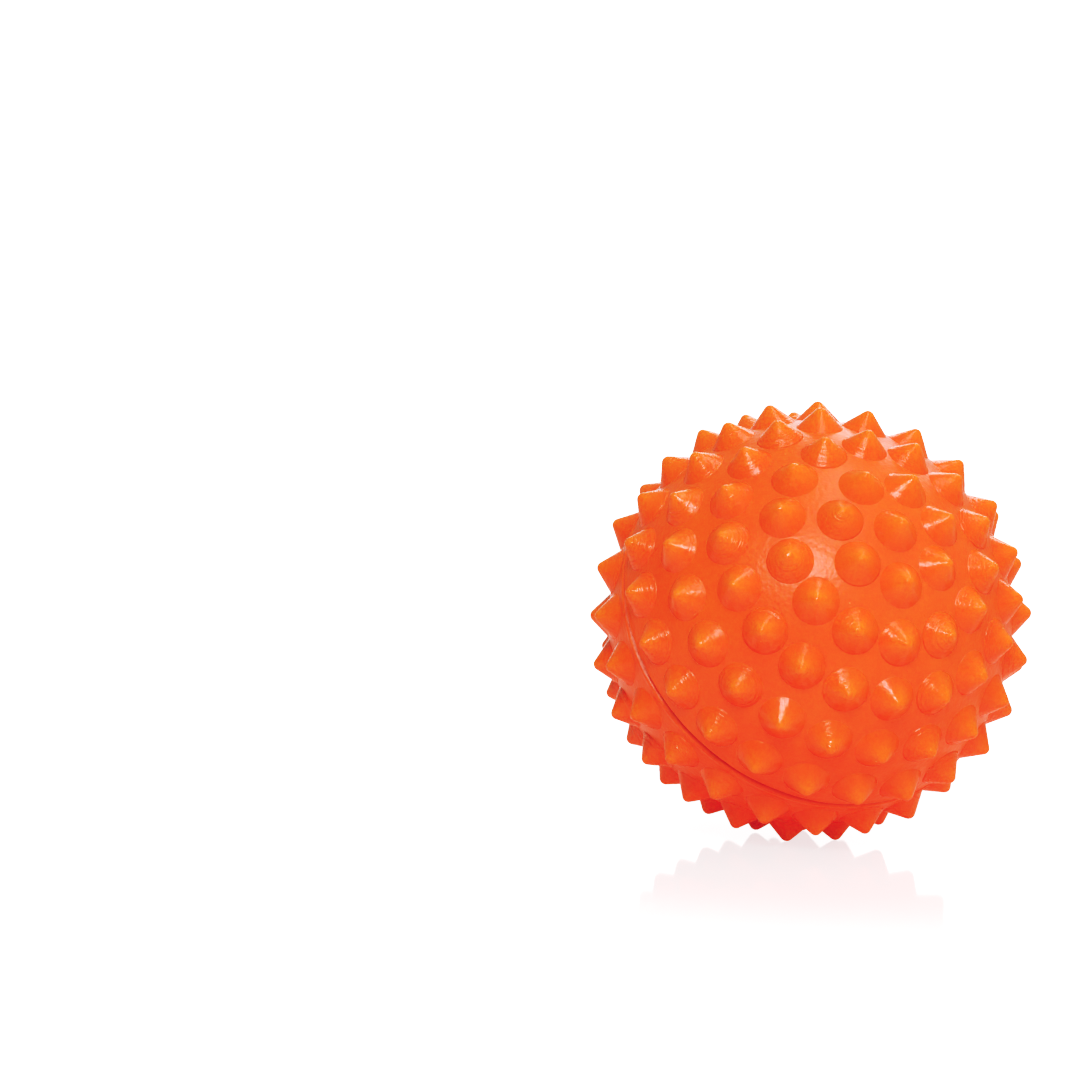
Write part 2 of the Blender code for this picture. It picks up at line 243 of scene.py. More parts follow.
class Mesh:
    """Points, triangles and what each of them is, gathered before one mesh is made."""

    def __init__(self):
        self.points = []
        self.plain = []      # True where the surface is the bare sphere
        self.rise = []       # 0 on the skin, 1 at a spike's tip, -1 deep in the seam groove
        self.chance = []     # one random number per spike
        self.faces = []
        self.groups = []     # shading group of each face

    def add(self, point, plain=False, rise=0.0, chance=0.0):
        self.points.append(point)
        self.plain.append(plain)
        self.rise.append(rise)
        self.chance.append(chance)
        return len(self.points) - 1

    def ring(self, points, **facts):
        return [self.add(p, **facts) for p in points]

    def face(self, corners, group):
        self.faces.append(corners)
        self.groups.append(group)

    def band(self, lower, upper, group):
        count = len(lower)
        for i in range(count):
            j = (i + 1) % count
            self.face((lower[i], lower[j], upper[j]), group)
            self.face((lower[i], upper[j], upper[i]), group)

    def fan(self, ring, apex, group):
        for i in range(len(ring)):
            self.face((ring[i], ring[(i + 1) % len(ring)], apex), group)

    def cover(self, front, rims, loose, group):
        """Triangles over part of a half sphere, through every ring in rims and every loose point.

        The first ring is the outer edge. The space inside the others stays open. The points are flattened
        from the far pole, which keeps circles round, and FLAT_SCALE brings them to a size that the
        triangulation handles well.
        """
        sign = 1.0 if front else -1.0
        index = [i for ring in rims for i in ring] + list(loose)
        owner = [k for k, ring in enumerate(rims) for _ in ring] + [-1] * len(loose)
        flat = []
        for i in index:
            p = self.points[i].normalized()
            flat.append(Vector((p.x, p.y)) * (FLAT_SCALE / (1.0 + sign * p.z)))
        edges = []
        start = 0
        for ring in rims:
            edges += [(start + i, start + (i + 1) % len(ring)) for i in range(len(ring))]
            start += len(ring)
        result = delaunay_2d_cdt(flat, edges, [], 0, FLAT_TOLERANCE)
        for face in result[2]:
            corners = [result[3][i][0] for i in face]
            owners = {owner[c] for c in corners}
            if len(owners) == 1 and owners != {0} and owners != {-1}:
                continue
            self.face(tuple(index[c] for c in corners), group)

    def build(self, name, mat, outward):
        """Make the object in the resting pose. outward(centres, groups) gives each face's outward side."""
        points = np.array([tuple(p) for p in self.points])
        faces = np.array(self.faces)
        groups = np.array(self.groups)
        corners = points[faces]
        normals = np.cross(corners[:, 1] - corners[:, 0], corners[:, 2] - corners[:, 0])
        flip = np.einsum("ij,ij->i", normals, outward(corners.mean(1), groups)) < 0.0
        faces[flip] = faces[flip][:, ::-1]
        normals[flip] *= -1.0
        # One shading normal for each point in each group
        key = (groups[:, None] * len(points) + faces).ravel()
        unique, back = np.unique(key, return_inverse=True)
        summed = np.zeros((len(unique), 3))
        np.add.at(summed, back, np.repeat(normals, 3, axis=0))
        summed /= np.linalg.norm(summed, axis=1)[:, None]
        loop_normals = summed[back]
        # The bare sphere is shaded as a true sphere
        bare = np.array(self.plain)[faces.ravel()] & (np.repeat(groups, 3) == SKIN)
        radial = points[faces.ravel()]
        radial = radial / np.linalg.norm(radial, axis=1)[:, None]
        loop_normals[bare] = radial[bare]
        turn = np.array(POSE.to_3x3())
        mesh = bpy.data.meshes.new(name)
        world = points @ turn.T + np.array(POSE.translation)
        mesh.from_pydata(world.tolist(), [], faces.tolist())
        mesh.shade_smooth()
        mesh.normals_split_custom_set((loop_normals @ turn.T).tolist())
        for label, values in (("rise", self.rise), ("chance", self.chance)):
            layer = mesh.attributes.new(label, "FLOAT", "POINT")
            layer.data.foreach_set("value", np.array(values, np.float32))
        mesh.materials.append(mat)
        piece = bpy.data.objects.new(name, mesh)
        bpy.context.scene.collection.objects.link(piece)
        return piece


def wander(azimuth, pace, seed):
    """Smooth irregularity round the seam, from about -1 to 1."""
    spot = Vector((math.cos(azimuth) * pace, math.sin(azimuth) * pace, seed))
    return noise.noise(spot) * 1.6


def side_vectors(axis):
    """Two directions square to the axis and to each other."""
    side = axis.cross(Vector((0.0, 0.0, 1.0)))
    if side.length < 1e-6:
        side = Vector((1.0, 0.0, 0.0))
    side.normalize()
    return side, axis.cross(side)


def circle_on(axis, radius, reach, sides=SPIKE_SIDES):
    """Circle of points round an axis, at this distance along it from the ball's centre."""
    side, other = side_vectors(axis)
    points = []
    for i in range(sides):
        turn = 2.0 * math.pi * i / sides
        points.append(axis * reach + (side * math.cos(turn) + other * math.sin(turn)) * radius)
    return points


def on_sphere(axis, radius, sides):
    return circle_on(axis, radius, math.sqrt(BODY_RADIUS ** 2 - radius ** 2), sides)


def add_spike(m, axis, others, rng):
    """A blunt 90 degree cone with faint turning marks. Returns the collar ring on the skin round it."""
    foot = math.sqrt(BODY_RADIUS ** 2 - SPIKE_BASE_RADIUS ** 2)
    apex = foot + SPIKE_BASE_RADIUS
    nose = rng.uniform(*NOSE_RADIUS_MM) * MM
    diagonal = math.sqrt(0.5)
    centre = apex - nose / diagonal
    chance = rng.random()
    marks = MARK_HEIGHT * (0.35 + rng.random())
    seed = rng.uniform(0.0, 50.0)
    low = (SPIKE_BASE_RADIUS, foot)
    high = (nose * diagonal, centre + nose * diagonal)
    base = m.ring(circle_on(axis, *low), chance=chance)
    rings = [base]
    for k in range(1, SPIKE_STEPS + 1):
        t = k / SPIKE_STEPS
        radius = low[0] + (high[0] - low[0]) * t
        reach = low[1] + (high[1] - low[1]) * t
        off = marks * noise.noise(Vector((t * 9.0, seed, 0.5))) * 2.0 if k < SPIKE_STEPS else 0.0
        rings.append(m.ring(
            circle_on(axis, radius + off * diagonal, reach + off * diagonal),
            rise=t * NOSE_START, chance=chance,
        ))
    for k in range(1, NOSE_STEPS):
        angle = math.radians(45.0 + 45.0 * k / NOSE_STEPS)
        rings.append(m.ring(
            circle_on(axis, nose * math.cos(angle), centre + nose * math.sin(angle)),
            rise=NOSE_START + (1.0 - NOSE_START) * k / NOSE_STEPS, chance=chance,
        ))
    for lower, upper in zip(rings, rings[1:]):
        m.band(lower, upper, SPIKE)
    m.fan(rings[-1], m.add(axis * (centre + nose), rise=1.0, chance=chance), SPIKE)
    side, other = side_vectors(axis)
    collar = []
    for i in range(SPIKE_SIDES):
        turn = 2.0 * math.pi * i / SPIKE_SIDES
        away = side * math.cos(turn) + other * math.sin(turn)
        edge = np.array(tuple(axis * foot + away * SPIKE_BASE_RADIUS)) / BODY_RADIUS
        free = np.linalg.norm(others - edge, axis=1).min() * BODY_RADIUS - SPIKE_BASE_RADIUS
        radius = SPIKE_BASE_RADIUS + min(COLLAR_WIDTH, max(0.05 * MM, 0.4 * free))
        swell = noise.noise(Vector((math.cos(turn) * 1.3, math.sin(turn) * 1.3, seed)))
        height = COLLAR_SWELL * max(0.0, swell - 0.08)
        p = axis * math.sqrt(BODY_RADIUS ** 2 - radius ** 2) + away * radius
        collar.append(m.add(p * (1.0 + height / BODY_RADIUS), chance=chance))
    m.band(base, collar, SKIN)
    return collar


def add_nub(m, axis, radius, height):
    """A small round bump. Returns its points, which join the skin around them."""
    ring = m.ring(on_sphere(axis, radius, NUB_SIDES))
    lift = 1.0 + 0.7 * height / BODY_RADIUS
    middle = m.ring([p * lift for p in on_sphere(axis, 0.55 * radius, NUB_SIDES)])
    top = m.add(axis * (BODY_RADIUS + height))
    return ring + middle + [top]


def scattered(radius, front, spacing):
    """Evenly scattered points on a half sphere, as unit vectors."""
    total = int(4.0 * math.pi * radius ** 2 / (spacing ** 2 * HEXAGON_SHARE))
    golden = math.pi * (3.0 - math.sqrt(5.0))
    sign = 1.0 if front else -1.0
    found = []
    for i in range(total // 2):
        height = 1.0 - 2.0 * (i + 0.5) / total
        reach = math.sqrt(1.0 - height * height)
        found.append(Vector((reach * math.cos(golden * i), reach * math.sin(golden * i), sign * height)))
    return found


def seam_ring(radius, height, sides=SEAM_SIDES):
    """Circle of points round the seam axis. It always runs the same way, so any two can be joined."""
    points = []
    for i in range(sides):
        turn = 2.0 * math.pi * i / sides
        points.append(Vector((radius * math.cos(turn), radius * math.sin(turn), height)))
    return points


def seam_lip(front):
    """Rings of points from the rim of the skin down into the groove, a little uneven as moulded."""
    sign = 1.0 if front else -1.0
    rings = []
    for height, rise in SEAM_PROFILE:
        near = min(1.0, max(0.0, (1.1 - height) / 0.5))    # 1 in the groove, 0 on the skin beside it
        ring = []
        for i in range(SEAM_SIDES):
            turn = 2.0 * math.pi * i / SEAM_SIDES
            coarse, fine = wander(turn, 3.0, 1.0 + sign), wander(turn, 14.0, 5.0 + sign)
            wide = 1.0 + near * (0.28 * coarse + 0.12 * fine)
            coarse, fine = wander(turn, 2.2, 11.0 + sign), wander(turn, 11.0, 17.0 + sign)
            lift = 1.0 + 0.45 * coarse + 0.20 * fine if rise > 0.0 else 1.0
            shift = 0.06 * near * wander(turn, 4.0, 23.0)
            z = max(height * wide, SEAM_HALF_GAP / MM)
            r = math.sqrt(BODY_RADIUS ** 2 - (height * MM) ** 2) + rise * lift * MM
            ring.append(Vector((r * math.cos(turn), r * math.sin(turn), (sign * z + shift) * MM)))
        rings.append(ring)
    return rings


def nub_places(front, rng):
    """Direction, radius and height of each nub that one half shell may carry."""
    nubs = []
    for polar, azimuth, radius, height in NUBS:
        nubs.append((direction(math.radians(polar), math.radians(azimuth)), radius * MM, height * MM))
    for _ in range(RANDOM_NUBS):
        spot = direction(math.radians(rng.uniform(*NUB_POLAR)), rng.uniform(0.0, 2.0 * math.pi))
        nubs.append((spot, rng.uniform(*NUB_RADIUS_MM) * MM, rng.uniform(*NUB_HEIGHT_MM) * MM))
    sign = 1.0 if front else -1.0
    return [(Vector((spot.x, spot.y, sign * spot.z)), radius, height) for spot, radius, height in nubs]


def shell(front, rng):
    """Everything on the outside of one half shell.

    Returns the mesh, its innermost groove ring and, on the rear half, the ring round the valve's mouth.
    """
    m = Mesh()
    sign = 1.0 if front else -1.0
    axes = spike_axes(front)
    rim_radius = math.sqrt(BODY_RADIUS ** 2 - RIM_HEIGHT ** 2)
    rims = [m.ring(seam_ring(rim_radius, sign * RIM_HEIGHT), plain=True)]
    for axis in axes:
        others = np.array([tuple(a) for a in axes if a != axis])
        rims.append(add_spike(m, axis, others, rng))
    taken = [(axis, SPIKE_BASE_RADIUS + SPIKE_MARGIN) for axis in axes]
    if not front:
        taken.append((Vector((0.0, 0.0, -1.0)), POCKET_RADIUS + POCKET_MARGIN))
    loose = []
    for spot, radius, height in nub_places(front, rng):
        room = radius - NUB_OVERLAP
        if all((spot - axis).length * BODY_RADIUS > reach + room for axis, reach in taken):
            loose += add_nub(m, spot, radius, height)
            taken.append((spot, radius + NUB_MARGIN))
    centres = np.array([tuple(axis) for axis, _ in taken])
    reaches = np.array([reach for _, reach in taken])
    for p in scattered(BODY_RADIUS, front, SKIN_SPACING):
        if abs(p.z) * BODY_RADIUS < RIM_HEIGHT + RIM_MARGIN:
            continue
        gaps = np.linalg.norm(centres - np.array(tuple(p)), axis=1) * BODY_RADIUS
        if (gaps > reaches).all():
            loose.append(m.add(p * BODY_RADIUS, plain=True))
    mouth = None
    if not front:
        reach = POCKET_RADIUS + LIP_WIDTH
        mouth = m.ring(seam_ring(reach, -math.sqrt(BODY_RADIUS ** 2 - reach ** 2), VALVE_SIDES))
        rims.append(mouth)
    m.cover(front, rims, loose, SKIN)
    last = rims[0]
    for (_, climb), points in zip(SEAM_PROFILE, seam_lip(front)):
        # Negative rise down the groove drives the painted shade there.
        ring = m.ring(points, rise=max(-1.0, min(0.0, climb / GROOVE_SHADE_DEPTH)))
        m.band(last, ring, SKIN)
        last = ring
    return m, last, mouth


def chain(m, first, rings, group):
    """Bands from one ring through the others, each in a group of its own so that its edges stay crisp.

    Returns the last ring and the next free group.
    """
    last = first
    for points in rings:
        ring = m.ring(points)
        m.band(last, ring, group)
        group += 1
        last = ring
    return last, group


def make_front_half(mat):
    """Half shell with a socket round the inside of its rim."""
    m, groove, _ = shell(True, random.Random(FRONT_SEED))
    edge_radius = math.sqrt(INNER_RADIUS ** 2 - SOCKET_DEPTH ** 2)
    last, group = chain(m, groove, [
        seam_ring(SOCKET_RADIUS, SEAM_HALF_GAP),
        seam_ring(SOCKET_RADIUS, SOCKET_DEPTH),
        seam_ring(edge_radius, SOCKET_DEPTH),
    ], FIRST_WALL)
    loose = []
    for p in scattered(INNER_RADIUS, True, CAVITY_SPACING):
        if p.z * INNER_RADIUS > SOCKET_DEPTH + CAVITY_MARGIN:
            loose.append(m.add(p * INNER_RADIUS))
    m.cover(True, [last], loose, group)
    cavity = group

    def outward(centres, groups):
        out = centres.copy()
        across = centres * (1.0, 1.0, 0.0)
        rim_face, socket_wall, socket_floor = range(FIRST_WALL, cavity)
        out[groups == rim_face] = (0.0, 0.0, -1.0)
        out[groups == socket_wall] = -across[groups == socket_wall]
        out[groups == socket_floor] = (0.0, 0.0, -1.0)
        out[groups == cavity] *= -1.0
        return out

    return m.build("front_half", mat, outward)


def make_rear_half(mat):
    """Half shell with a spigot that fills the socket, and a pocket and boss for the valve at its pole."""
    m, groove, mouth = shell(False, random.Random(REAR_SEED))
    mouth_height = -math.sqrt(BODY_RADIUS ** 2 - POCKET_RADIUS ** 2)
    floor = mouth_height + POCKET_DEPTH
    boss_end = -BODY_RADIUS + BOSS_LENGTH
    boss_foot = -math.sqrt(INNER_RADIUS ** 2 - BOSS_RADIUS ** 2)
    cavity_edge = -math.sqrt(INNER_RADIUS ** 2 - SPIGOT_BORE ** 2)
    last, group = chain(m, groove, [
        seam_ring(SPIGOT_RADIUS, -SEAM_HALF_GAP),
        seam_ring(SPIGOT_RADIUS, SPIGOT_HEIGHT),
        seam_ring(SPIGOT_BORE, SPIGOT_HEIGHT),
        seam_ring(SPIGOT_BORE, cavity_edge),
    ], FIRST_WALL)
    lip = mouth
    for beside, depth in LIP_PROFILE:
        points = seam_ring(POCKET_RADIUS + beside * MM, mouth_height + depth * MM, VALVE_SIDES)
        ring = m.ring(points)
        m.band(lip, ring, SKIN)
        lip = ring
    boss, group = chain(m, lip, [
        seam_ring(POCKET_RADIUS, floor, VALVE_SIDES),
        seam_ring(BORE_RADIUS, floor, VALVE_SIDES),
        seam_ring(BORE_RADIUS, boss_end, VALVE_SIDES),
        seam_ring(BOSS_RADIUS, boss_end, VALVE_SIDES),
        seam_ring(BOSS_RADIUS, boss_foot, VALVE_SIDES),
    ], group)
    loose = []
    for p in scattered(INNER_RADIUS, False, CAVITY_SPACING):
        clear_of_spigot = p.z * INNER_RADIUS < cavity_edge - SPIGOT_MARGIN
        clear_of_boss = math.hypot(p.x, p.y) * INNER_RADIUS > BOSS_RADIUS + CAVITY_MARGIN
        if clear_of_spigot and clear_of_boss:
            loose.append(m.add(p * INNER_RADIUS))
    m.cover(False, [last, boss], loose, group)

    def outward(centres, groups):
        out = centres.copy()
        across = centres * (1.0, 1.0, 0.0)
        up = np.zeros_like(centres) + (0.0, 0.0, 1.0)
        sides = (
            up, across, up, -across,                    # rim face, spigot wall, spigot end, spigot bore
            -across, -up, -across, up, across,          # pocket wall and floor, bore, boss end and wall
            -centres,                                   # cavity
        )
        for number, side in enumerate(sides, FIRST_WALL):
            out[groups == number] = side[groups == number]
        # The steep part of the lip faces the axis and out of the pocket
        radius = np.hypot(centres[:, 0], centres[:, 1])
        at_lip = (groups == SKIN) & (radius < POCKET_RADIUS + 0.15 * MM) & (centres[:, 2] < 0.0)
        out[at_lip] = (-across - 0.4 * up * POCKET_RADIUS)[at_lip]
        return out

    return m.build("rear_half", mat, outward)


def rounded_profile(corners):
    """A profile of (radius, height, fillet) corners with each corner rounded by its fillet."""
    points = []
    count = len(corners)
    for i in range(count):
        r, z, fillet = corners[i]
        here = Vector((r, z))
        if fillet <= 0.0:
            points.append(here)
            continue
        before = Vector(corners[i - 1][:2])
        after = Vector(corners[(i + 1) % count][:2])
        start = here + (before - here).normalized() * fillet
        end = here + (after - here).normalized() * fillet
        for k in range(PROFILE_STEPS + 1):
            t = k / PROFILE_STEPS
            points.append(start * (1.0 - t) ** 2 + here * 2.0 * t * (1.0 - t) + end * t ** 2)
    return points


def turned(name, corners, mat, closed, tips=()):
    """Solid of revolution about the seam axis, from a rounded profile.

    A closed profile is a ring. An open one is shut at both ends by fans that reach the heights in tips.
    """
    bm = bmesh.new()
    rings = []
    for p in rounded_profile(corners):
        rings.append([bm.verts.new(v) for v in seam_ring(p.x, p.y, VALVE_SIDES)])
    pairs = list(zip(rings, rings[1:] + rings[:1] if closed else rings[1:]))
    for lower, upper in pairs:
        for i in range(VALVE_SIDES):
            j = (i + 1) % VALVE_SIDES
            bm.faces.new((lower[i], lower[j], upper[j], upper[i]))
    for ring, height in zip((rings[0], rings[-1]), tips):
        apex = bm.verts.new((0.0, 0.0, height))
        for i in range(VALVE_SIDES):
            bm.faces.new((ring[i], ring[(i + 1) % VALVE_SIDES], apex))
    bmesh.ops.recalc_face_normals(bm, faces=bm.faces)
    bm.transform(POSE)
    mesh = bpy.data.meshes.new(name)
    bm.to_mesh(mesh)
    bm.free()
    mesh.shade_smooth()
    mesh.set_sharp_from_angle(angle=SHARP_ANGLE)
    mesh.materials.append(mat)
    piece = bpy.data.objects.new(name, mesh)
    bpy.context.scene.collection.objects.link(piece)
    return piece


def make_seat(mat):
    """Flanged sleeve that lines the boss, with a recess for the stopper's head and a lip inside the ball."""
    top = -math.sqrt(BODY_RADIUS ** 2 - POCKET_RADIUS ** 2)
    foot = top + POCKET_DEPTH - SEAT_GAP
    boss_end = -BODY_RADIUS + BOSS_LENGTH + SEAT_GAP
    inner_end = -BODY_RADIUS + SEAT_LENGTH
    recess = top + SEAT_RECESS_DEPTH
    stem = BORE_RADIUS - SEAT_GAP
    flange = POCKET_RADIUS - SEAT_GAP
    return turned("valve_seat_detail", [
        (SEAT_RECESS_RADIUS, top, 0.16 * MM),
        (SEAT_GROOVE_INNER, top, 0.08 * MM),
        (SEAT_GROOVE_INNER + SEAT_GROOVE_SLOPE, top + SEAT_GROOVE_DEPTH, 0.05 * MM),
        (SEAT_GROOVE_OUTER - SEAT_GROOVE_SLOPE, top + SEAT_GROOVE_DEPTH, 0.05 * MM),
        (SEAT_GROOVE_OUTER, top, 0.08 * MM),
        (flange, top, 0.30 * MM),
        (flange, foot, 0.05 * MM),
        (stem, foot, 0.0),
        (stem, boss_end, 0.0),
        (SEAT_LIP_RADIUS, boss_end, 0.20 * MM),
        (SEAT_LIP_RADIUS - SEAT_LIP_TAPER, inner_end, 0.30 * MM),
        (SEAT_HOLE_RADIUS, inner_end, 0.10 * MM),
        (SEAT_HOLE_RADIUS, recess, 0.06 * MM),
        (SEAT_RECESS_RADIUS, recess, 0.0),
    ], mat, True)


def make_plug(mat):
    """Stopper with a dimpled head and a shank with a shallow neck."""
    top = -math.sqrt(BODY_RADIUS ** 2 - POCKET_RADIUS ** 2)
    seat = top + SEAT_RECESS_DEPTH - PLUG_GAP
    shank = SEAT_HOLE_RADIUS - PLUG_GAP
    return turned("valve_plug_detail", [
        # Dimple and head
        (0.55 * MM, top + 0.08 * MM, 0.0),
        (1.15 * MM, top + 0.05 * MM, 0.10 * MM),
        (1.35 * MM, top - 0.07 * MM, 0.08 * MM),
        (2.30 * MM, top - 0.03 * MM, 0.15 * MM),
        (PLUG_HEAD_RADIUS, top + 0.22 * MM, 0.22 * MM),
        (PLUG_HEAD_RADIUS, seat, 0.04 * MM),
        # Shank and neck
        (shank, seat, 0.05 * MM),
        (shank, seat + 5.6 * MM, 0.05 * MM),
        (shank - 0.14 * MM, seat + 5.75 * MM, 0.05 * MM),
        (shank - 0.14 * MM, seat + 6.15 * MM, 0.05 * MM),
        (shank, seat + 6.3 * MM, 0.05 * MM),
        # Rounded end
        (shank, seat + PLUG_LENGTH - 1.2 * MM, 0.25 * MM),
        (shank * 0.55, seat + PLUG_LENGTH, 0.0),
    ], mat, False, (top + 0.08 * MM, seat + PLUG_LENGTH + 0.2 * MM))


class Nodes:
    """Short helper for writing node materials. Values may be numbers or the sockets of other nodes."""

    def __init__(self, name):
        self.mat = bpy.data.materials.new(name)
        self.mat.use_nodes = True
        self.tree = self.mat.node_tree
        self.shader = self.tree.nodes["Principled BSDF"]

    def new(self, kind, **values):
        node = self.tree.nodes.new(kind)
        for key, value in values.items():
            setattr(node, key, value)
        return node

    def put(self, socket, value):
        if isinstance(value, bpy.types.NodeSocket):
            self.tree.links.new(value, socket)
        else:
            socket.default_value = value

    def spot(self):
        return self.new("ShaderNodeTexCoord").outputs["Object"]

    def attribute(self, label):
        return self.new("ShaderNodeAttribute", attribute_name=label).outputs["Fac"]

    def noise(self, scale, detail, roughness, along=None):
        """Noise in space or, where along is given, noise that depends on that one value."""
        node = self.new("ShaderNodeTexNoise", noise_dimensions="3D" if along is None else "1D")
        node.inputs["Scale"].default_value = scale
        node.inputs["Detail"].default_value = detail
        node.inputs["Roughness"].default_value = roughness
        if along is None:
            self.put(node.inputs["Vector"], self.spot())
        else:
            self.put(node.inputs["W"], along)
        return node.outputs["Fac"]

    def cells(self, scale):
        """Distance from the middle of the nearest of many small cells, and one random colour for each."""
        node = self.new("ShaderNodeTexVoronoi")
        node.inputs["Scale"].default_value = scale
        self.put(node.inputs["Vector"], self.spot())
        return node.outputs["Distance"], node.outputs["Color"]

    def math(self, operation, a, b):
        node = self.new("ShaderNodeMath", operation=operation)
        self.put(node.inputs[0], a)
        self.put(node.inputs[1], b)
        return node.outputs[0]

    def span(self, value, low, high, to_low=0.0, to_high=1.0, smooth=False):
        """The value's place between low and high, as a number from to_low to to_high."""
        node = self.new("ShaderNodeMapRange", interpolation_type="SMOOTHSTEP" if smooth else "LINEAR")
        self.put(node.inputs["Value"], value)
        for label, number in zip(SPAN_LABELS, (low, high, to_low, to_high)):
            node.inputs[label].default_value = number
        return node.outputs[0]

    def blend(self, factor, a, b):
        node = self.new("ShaderNodeMix", data_type="RGBA")
        self.put(node.inputs[0], factor)
        for socket, value in ((node.inputs[6], a), (node.inputs[7], b)):
            self.put(socket, (*value, 1.0) if isinstance(value, tuple) else value)
        return node.outputs[2]

    def bump(self, height):
        """Height is in metres."""
        node = self.new("ShaderNodeBump")
        node.inputs["Strength"].default_value = 1.0
        node.inputs["Distance"].default_value = 1.0
        self.put(node.inputs["Height"], height)
        self.put(self.shader.inputs["Normal"], node.outputs[0])

    def scatter(self, weight, radius, scale):
        """Light that enters the surface: share, reach of red, green and blue, and scale in metres."""
        self.shader.inputs["Subsurface Weight"].default_value = weight
        self.shader.inputs["Subsurface Radius"].default_value = radius
        self.shader.inputs["Subsurface Scale"].default_value = scale


def orange_flecks(n):
    """Sparse specks. Returns where they are, and which of them are dark."""
    distance, pick = n.cells(260.0)
    fleck = n.math("MULTIPLY", n.span(distance, 0.035, 0.055, 1.0, 0.0), n.span(pick, 0.80, 0.82))
    return fleck, n.span(pick, 0.93, 0.94)


def orange_colour(n, rise, grain, fleck, dark):
    """Deeper orange on the skin, lighter towards the spike tips as a painted glow of light shining through
    their thin plastic, and dark red down in the seam's groove as painted shade.
    """
    cloud = n.noise(55.0, 3.0, 0.6)
    speckle = n.noise(2300.0, 2.0, 0.7)
    tone = n.math("ADD", n.math("MULTIPLY", cloud, 0.5), n.math("MULTIPLY", speckle, 0.5))
    skin = n.blend(n.span(tone, 0.38, 0.62), (0.86, 0.052, 0.002), (0.89, 0.080, 0.003))
    tone = n.span(n.math("ADD", grain, speckle), 0.8, 1.2)
    # Lighter tip colours, blended in by height up the spike: a painted glow of light shining through the
    # thin tips.
    tip = n.blend(tone, (0.89, 0.094, 0.003), (0.92, 0.130, 0.004))
    colour = n.blend(n.span(rise, 0.10, 1.0, smooth=True), skin, tip)
    # Painted shade: dark red deep in the seam's groove, where shade falls.
    colour = n.blend(n.span(rise, -1.0, 0.0, 0.8, 0.0), colour, (0.66, 0.022, 0.002))
    speck = n.blend(dark, (0.95, 0.30, 0.10), (0.60, 0.03, 0.01))
    return n.blend(n.math("MULTIPLY", fleck, 0.7), colour, speck)


def orange_gloss(n, rise, grain):
    """Smeared gloss on the skin, a little glossier on the spikes and most of all at their tips."""
    smear = n.math("ADD", n.noise(170.0, 4.0, 0.6), n.math("MULTIPLY", grain, 0.35))
    worn = n.math("ADD", n.span(rise, 0.0, 0.04, 0.0, 0.12), n.span(rise, 0.55, 1.0, 0.0, 0.06))
    return n.math("SUBTRACT", n.span(smear, 0.4, 1.0, 0.27, 0.36), worn)


def orange_relief(n, rise, chance, fleck):
    """Orange peel, slow ripples, flecks that stand out, and turning marks in patches on the spikes."""
    peel = n.math("MULTIPLY", n.noise(1050.0, 1.0, 0.5), 0.000090)
    swell = n.math("MULTIPLY", n.noise(240.0, 2.0, 0.5), 0.000090)
    lane = n.math("ADD", n.math("MULTIPLY", rise, 9.0), n.math("MULTIPLY", chance, 91.0))
    marks = n.noise(1.0, 2.0, 0.7, along=lane)
    depth = n.math("MULTIPLY", n.span(rise, 0.0, 0.05), n.span(chance, 0.15, 1.0, 0.00002, 0.00026))
    patch = n.span(n.noise(210.0, 1.0, 0.5), 0.38, 0.58, 0.25, 1.0)
    marks = n.math("MULTIPLY", marks, n.math("MULTIPLY", depth, patch))
    pimple = n.math("MULTIPLY", fleck, 0.00003)
    return n.math("ADD", n.math("ADD", peel, swell), n.math("ADD", marks, pimple))


def orange_material():
    """Glossy, slightly see-through orange PVC with an orange-peel skin and turning marks on the spikes."""
    n = Nodes("orange_pvc_surface")
    rise = n.attribute("rise")
    chance = n.attribute("chance")
    grain = n.noise(900.0, 2.0, 0.6)
    fleck, dark = orange_flecks(n)
    n.put(n.shader.inputs["Base Color"], orange_colour(n, rise, grain, fleck, dark))
    n.put(n.shader.inputs["Roughness"], orange_gloss(n, rise, grain))
    n.bump(orange_relief(n, rise, chance, fleck))
    n.shader.inputs["IOR"].default_value = 1.50
    n.shader.inputs["Specular IOR Level"].default_value = 0.30
    n.scatter(0.45, (1.0, 0.12, 0.05), 0.0026)
    return n.mat


def seat_material():
    """Softer, duller PVC of the valve seat."""
    n = Nodes("soft_seat_surface")
    cloud = n.noise(260.0, 3.0, 0.6)
    grain = n.noise(2400.0, 2.0, 0.6)
    colour = n.blend(n.span(cloud, 0.35, 0.65), (0.76, 0.085, 0.012), (0.84, 0.115, 0.014))
    n.put(n.shader.inputs["Base Color"], colour)
    n.put(n.shader.inputs["Roughness"], n.span(grain, 0.35, 0.65, 0.44, 0.60))
    n.bump(n.math("ADD", n.math("MULTIPLY", grain, 0.000012), n.math("MULTIPLY", cloud, 0.00004)))
    n.scatter(0.20, (1.0, 0.25, 0.08), 0.0015)
    return n.mat


def plug_material():
    """Smooth white polyethylene with a faint moulded grain and a few scuffs."""
    n = Nodes("white_stopper_surface")
    cloud = n.noise(400.0, 3.0, 0.6)
    grain = n.noise(3200.0, 2.0, 0.6)
    scuff = n.span(n.noise(900.0, 5.0, 0.75), 0.60, 0.72)
    colour = n.blend(n.span(cloud, 0.35, 0.65), (0.80, 0.79, 0.76), (0.87, 0.865, 0.84))
    colour = n.blend(n.math("MULTIPLY", scuff, 0.35), colour, (0.66, 0.62, 0.57))
    n.put(n.shader.inputs["Base Color"], colour)
    gloss = n.span(grain, 0.35, 0.65, 0.28, 0.40)
    n.put(n.shader.inputs["Roughness"], n.math("ADD", gloss, n.math("MULTIPLY", scuff, 0.15)))
    n.bump(n.math("ADD", n.math("MULTIPLY", grain, 0.000008), n.math("MULTIPLY", scuff, -0.000010)))
    n.scatter(0.25, (1.0, 0.9, 0.8), 0.0012)
    return n.mat


